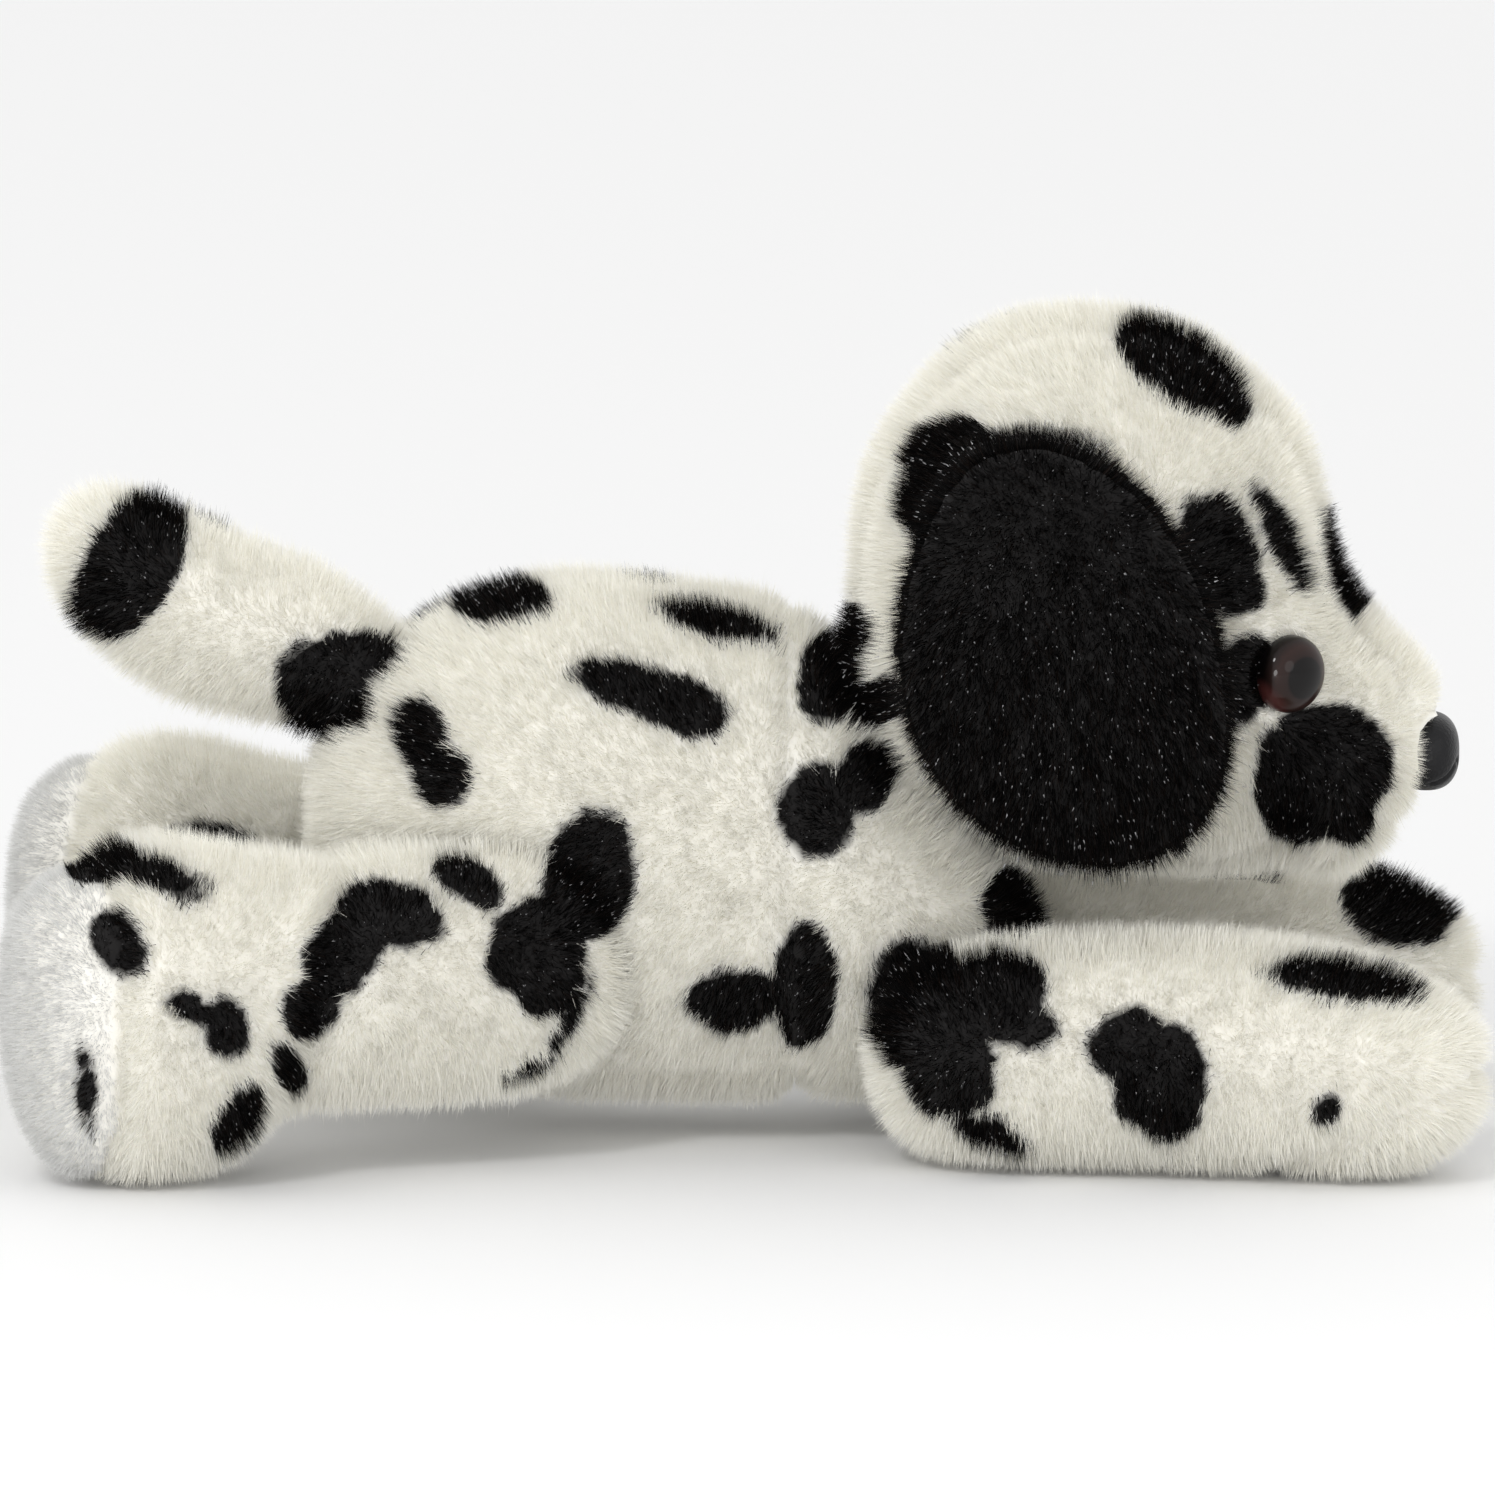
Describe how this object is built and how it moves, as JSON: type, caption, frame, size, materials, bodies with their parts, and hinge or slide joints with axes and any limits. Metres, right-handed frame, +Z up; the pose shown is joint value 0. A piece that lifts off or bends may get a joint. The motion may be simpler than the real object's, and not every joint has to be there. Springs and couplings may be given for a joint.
{
  "type": "plush dog",
  "caption": "Spotted stuffed toy dog lying flat with legs splayed, long ears, plastic eyes and nose, and a raised tail.",
  "frame": {"origin": "on the ground under the middle of the toy's length and width", "axes": "+X the way the dog faces, +Y its left side, +Z up"},
  "size_m": [0.2053, 0.1184, 0.1151],
  "materials": {
    "spotted_fur": "cream-white plush pile about 5 mm long with irregular black patches dyed in",
    "black_fur": "long black plush pile",
    "sole_fur": "short cream-white plush pile",
    "ear_lining_cloth": "short black plush pile",
    "neck_cloth": "cream-white plush pile",
    "fibre_fill": "loose polyester fibre",
    "pellet_cloth": "plain woven pouch filled with plastic pellets",
    "eye_plastic": "glossy black dome over a dark reddish-brown iris",
    "nose_plastic": "satin black moulded plastic with a pebbled surface",
    "washer_plastic": "natural white moulded plastic"
  },
  "bodies": {
    "torso": {"belly_panel": "spotted_fur", "body_left_panel": "spotted_fur", "body_pellet_bag": "pellet_cloth", "body_right_panel": "spotted_fur", "body_stuffing": "fibre_fill", "chest_left_panel": "spotted_fur", "chest_right_panel": "spotted_fur"},
    "neck": {"neck_sleeve": "neck_cloth", "neck_stuffing": "fibre_fill"},
    "head": {"chin_panel": "spotted_fur", "crown_gusset": "spotted_fur", "head_left_panel": "spotted_fur", "head_right_panel": "spotted_fur", "head_stuffing": "fibre_fill", "left_eye": "eye_plastic", "left_eye_washer": "washer_plastic", "nose": "nose_plastic", "nose_washer": "washer_plastic", "right_eye": "eye_plastic", "right_eye_washer": "washer_plastic"},
    "left_ear": {"left_ear_lining": "ear_lining_cloth", "left_ear_outer": "black_fur"},
    "left_front_leg": {"left_front_leg_cloth": "spotted_fur", "left_front_leg_pellet_bag": "pellet_cloth", "left_front_leg_sole": "spotted_fur", "left_front_leg_stuffing": "fibre_fill"},
    "left_hind_leg": {"left_hind_leg_inner_panel": "spotted_fur", "left_hind_leg_outer_panel": "spotted_fur", "left_hind_leg_pellet_bag": "pellet_cloth", "left_hind_leg_stuffing": "fibre_fill", "left_hind_sole_pad": "sole_fur"},
    "right_ear": {"right_ear_lining": "ear_lining_cloth", "right_ear_outer": "black_fur"},
    "right_front_leg": {"right_front_leg_cloth": "spotted_fur", "right_front_leg_pellet_bag": "pellet_cloth", "right_front_leg_sole": "spotted_fur", "right_front_leg_stuffing": "fibre_fill"},
    "right_hind_leg": {"right_hind_leg_inner_panel": "spotted_fur", "right_hind_leg_outer_panel": "spotted_fur", "right_hind_leg_pellet_bag": "pellet_cloth", "right_hind_leg_stuffing": "fibre_fill", "right_hind_sole_pad": "sole_fur"},
    "tail": {"tail_left_panel": "spotted_fur", "tail_right_panel": "spotted_fur", "tail_stuffing": "fibre_fill"}
  },
  "joints": [
    {"name": "head_nod", "type": "hinge", "parent": "torso", "child": "neck", "pos_m": [0.03, 0, 0.06], "axis": [0, -1, 0], "range_deg": [-5, 10]},
    {"name": "head_turn", "type": "hinge", "parent": "neck", "child": "head", "pos_m": [0.03, 0, 0.06], "axis": [0, 0, 1], "range_deg": [-18, 18]},
    {"name": "left_ear_flap", "type": "hinge", "parent": "head", "child": "left_ear", "pos_m": [0.038, 0.025, 0.1044], "axis": [1, 0, 0], "range_deg": [0, 75]},
    {"name": "right_ear_flap", "type": "hinge", "parent": "head", "child": "right_ear", "pos_m": [0.038, -0.025, 0.1044], "axis": [-1, 0, 0], "range_deg": [0, 75]},
    {"name": "left_front_leg_splay", "type": "hinge", "parent": "torso", "child": "left_front_leg", "pos_m": [0.032, 0.028, 0.015], "axis": [0, 0, 1], "range_deg": [-8, 30]},
    {"name": "right_front_leg_splay", "type": "hinge", "parent": "torso", "child": "right_front_leg", "pos_m": [0.032, -0.028, 0.015], "axis": [0, 0, -1], "range_deg": [-8, 30]},
    {"name": "left_hind_leg_splay", "type": "hinge", "parent": "torso", "child": "left_hind_leg", "pos_m": [-0.033, 0.025, 0.022], "axis": [0, 0, -1], "range_deg": [-6, 25]},
    {"name": "right_hind_leg_splay", "type": "hinge", "parent": "torso", "child": "right_hind_leg", "pos_m": [-0.033, -0.025, 0.022], "axis": [0, 0, 1], "range_deg": [-6, 25]},
    {"name": "tail_lift", "type": "hinge", "parent": "torso", "child": "tail", "pos_m": [-0.051, 0, 0.062], "axis": [0, 1, 0], "range_deg": [-12, 14]}
  ]
}
